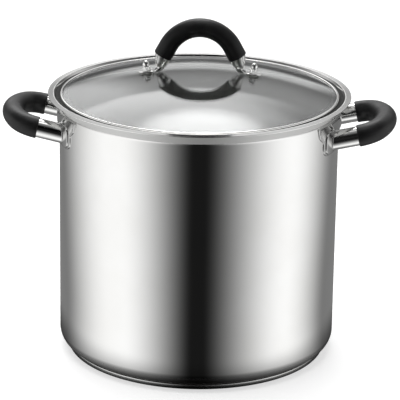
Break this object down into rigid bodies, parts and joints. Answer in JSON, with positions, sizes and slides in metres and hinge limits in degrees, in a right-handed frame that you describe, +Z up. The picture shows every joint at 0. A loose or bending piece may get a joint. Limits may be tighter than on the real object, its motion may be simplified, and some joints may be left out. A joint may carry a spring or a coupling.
{
  "type": "water bath canner",
  "caption": "Tall round steel pot with a flared rim, a domed glass lid with an arched grip, looped side handles and a lift-out wire rack that holds jars off the floor.",
  "frame": {"origin": "on the pot's axis, at the surface it stands on", "axes": "+Z up along the pot's axis, +X out through the right side handle, -Y towards the viewer"},
  "size_m": [0.4262, 0.3268, 0.3696],
  "materials": {
    "polished_steel": "mirror-polished stainless steel",
    "base_aluminium": "plain disc, closed in by the base cap",
    "black_grip": "satin black heat-resistant plastic",
    "lid_glass": "clear tempered glass",
    "fastener_steel": "plain turned stainless steel",
    "soft_seal": "pale heat-resistant rubber",
    "rack_wire": "bright plated steel wire"
  },
  "bodies": {
    "pot": {"pot_shell": "polished_steel", "base_core": "base_aluminium", "base_cap": "polished_steel", "left_bracket": "polished_steel", "left_front_leg": "polished_steel", "left_rear_leg": "polished_steel", "left_handle_core": "fastener_steel", "left_grip": "black_grip", "right_bracket": "polished_steel", "right_front_leg": "polished_steel", "right_rear_leg": "polished_steel", "right_handle_core": "fastener_steel", "right_grip": "black_grip"},
    "lid": {"lid_glass": "lid_glass", "lid_band": "polished_steel", "lid_handle_bar": "polished_steel", "lid_grip": "black_grip", "lid_screws": "fastener_steel", "lid_cap_nuts": "polished_steel", "lid_washers": "fastener_steel", "lid_upper_pads": "soft_seal", "lid_lower_pads": "soft_seal", "lid_sleeves": "soft_seal"},
    "rack": {"rack_ring": "rack_wire", "rack_bars": "rack_wire", "rack_rails": "rack_wire", "rack_feet": "rack_wire"},
    "left_rack_loop": {"rack_left_handle": "rack_wire"},
    "right_rack_loop": {"rack_right_handle": "rack_wire"}
  },
  "joints": [
    {"name": "lid_lift", "type": "slide", "parent": "pot", "child": "lid", "axis": [0, 0, 1], "range_m": [0, 0.15]},
    {"name": "rack_lift", "type": "slide", "parent": "pot", "child": "rack", "axis": [0, 0, 1], "range_m": [0, 0.17]},
    {"name": "left_loop_fold", "type": "hinge", "parent": "rack", "child": "left_rack_loop", "pos_m": [-0.13077, 0, 0.025], "axis": [0, 1, 0], "range_deg": [0, 90]},
    {"name": "right_loop_fold", "type": "hinge", "parent": "rack", "child": "right_rack_loop", "pos_m": [0.13077, 0, 0.025], "axis": [0, -1, 0], "range_deg": [0, 90]}
  ]
}
